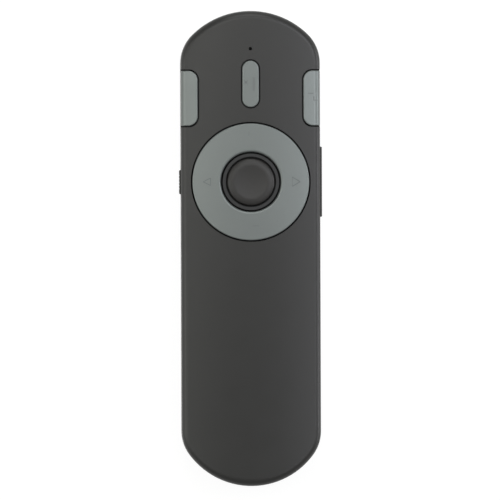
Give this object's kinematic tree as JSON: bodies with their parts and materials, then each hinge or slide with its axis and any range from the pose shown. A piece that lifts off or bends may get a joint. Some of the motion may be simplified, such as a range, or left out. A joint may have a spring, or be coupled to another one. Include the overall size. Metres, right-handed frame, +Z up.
{
  "type": "wireless presentation clicker",
  "caption": "Slim hand-held presentation remote with a rocking ring key, centre key, laser key, side keys, edge switch and rocker, sliding battery door and plug-in receiver.",
  "frame": {"origin": "centre of the underside, on the surface it lies on", "axes": "+Y towards the front end with the laser, +Z up out of the key face, +X to the right seen from above"},
  "size_m": [0.0384, 0.128, 0.0188],
  "materials": {
    "case": "soft-touch dark grey",
    "cap_dark": "satin dark grey",
    "inner_black": "matte black",
    "key_grey": "satin grey",
    "silicone": "matte",
    "board_green": "solder mask",
    "chip_black": "matte",
    "component_tan": "matte",
    "led_clear": "frosted clear",
    "lens_clear": "tinted clear",
    "brass_barrel": "turned",
    "contact_nickel": "nickel plated",
    "screw_steel": "zinc plated",
    "cell_wrap": "satin wrap"
  },
  "bodies": {
    "housing": {"top_shell": "case", "bottom_shell": "case", "key_frame": "inner_black", "housing_screws": "screw_steel", "frame_screws": "screw_steel", "main_pcb": "board_green", "mcu_chip": "chip_black", "pcb_components": "component_tan", "side_switches": "chip_black", "power_switch_body": "chip_black", "status_led": "led_clear", "led_light_pipe": "led_clear", "keypad_mat": "silicone", "dial_dome_right": "silicone", "dial_dome_front": "silicone", "dial_dome_left": "silicone", "dial_dome_rear": "silicone", "centre_dome": "silicone", "laser_dome": "silicone", "left_key_dome": "silicone", "right_key_dome": "silicone", "laser_barrel": "brass_barrel", "laser_diode": "contact_nickel", "laser_lens": "lens_clear", "laser_window": "lens_clear", "laser_leads": "contact_nickel", "battery_left": "cell_wrap", "battery_right": "cell_wrap", "contact_front_positive": "contact_nickel", "contact_front_negative": "contact_nickel", "contact_rear_bridge": "contact_nickel", "spring_front": "contact_nickel", "spring_rear": "contact_nickel", "receiver_sleeve": "inner_black"},
    "gimbal": {"dial_gimbal": "inner_black"},
    "ring_key": {"dial_ring": "key_grey"},
    "centre_cap": {"centre_button": "cap_dark"},
    "pill_key": {"laser_key": "key_grey"},
    "left_side_key": {"left_key": "key_grey"},
    "right_side_key": {"right_key": "key_grey"},
    "rocker": {"volume_rocker": "cap_dark"},
    "power_slider": {"slider_knob": "cap_dark", "switch_lever": "inner_black"},
    "door": {"battery_door": "case"},
    "receiver": {"receiver_cap": "case", "receiver_plug_shell": "contact_nickel", "receiver_tongue": "inner_black"}
  },
  "joints": [
    {"name": "ring_tilt_front_rear", "type": "hinge", "parent": "housing", "child": "gimbal", "pos_m": [0, 0.01795, 0.0143], "axis": [1, 0, 0], "range_deg": [-1.6, 1.6], "stiffness_Nm_per_rad": 0.6, "deforming": ["dial_dome_front", "dial_dome_rear"]},
    {"name": "ring_tilt_left_right", "type": "hinge", "parent": "gimbal", "child": "ring_key", "pos_m": [0, 0.01795, 0.0143], "axis": [0, 1, 0], "range_deg": [-1.6, 1.6], "stiffness_Nm_per_rad": 0.6, "deforming": ["dial_dome_left", "dial_dome_right"]},
    {"name": "centre_press", "type": "slide", "parent": "housing", "child": "centre_cap", "axis": [0, 0, -1], "range_m": [0, 0.0006], "stiffness_N_per_m": 1800, "deforming": ["centre_dome"]},
    {"name": "laser_key_press", "type": "slide", "parent": "housing", "child": "pill_key", "axis": [0, 0, -1], "range_m": [0, 0.0005], "stiffness_N_per_m": 2000, "deforming": ["laser_dome"]},
    {"name": "left_key_press", "type": "slide", "parent": "housing", "child": "left_side_key", "axis": [0, 0, -1], "range_m": [0, 0.0005], "stiffness_N_per_m": 2000, "deforming": ["left_key_dome"]},
    {"name": "right_key_press", "type": "slide", "parent": "housing", "child": "right_side_key", "axis": [0, 0, -1], "range_m": [0, 0.0005], "stiffness_N_per_m": 2000, "deforming": ["right_key_dome"]},
    {"name": "volume_rock", "type": "hinge", "parent": "housing", "child": "rocker", "pos_m": [0.017, 0.01795, 0.01265], "axis": [0, 0, 1], "range_deg": [-2.3, 2.3], "stiffness_Nm_per_rad": 0.15},
    {"name": "power_slide", "type": "slide", "parent": "housing", "child": "power_slider", "axis": [0, 1, 0], "range_m": [0, 0.002]},
    {"name": "door_slide", "type": "slide", "parent": "housing", "child": "door", "axis": [0, -1, 0], "range_m": [0, 0.062]},
    {"name": "receiver_slide", "type": "slide", "parent": "housing", "child": "receiver", "axis": [0, -1, 0], "range_m": [0, 0.018]}
  ]
}
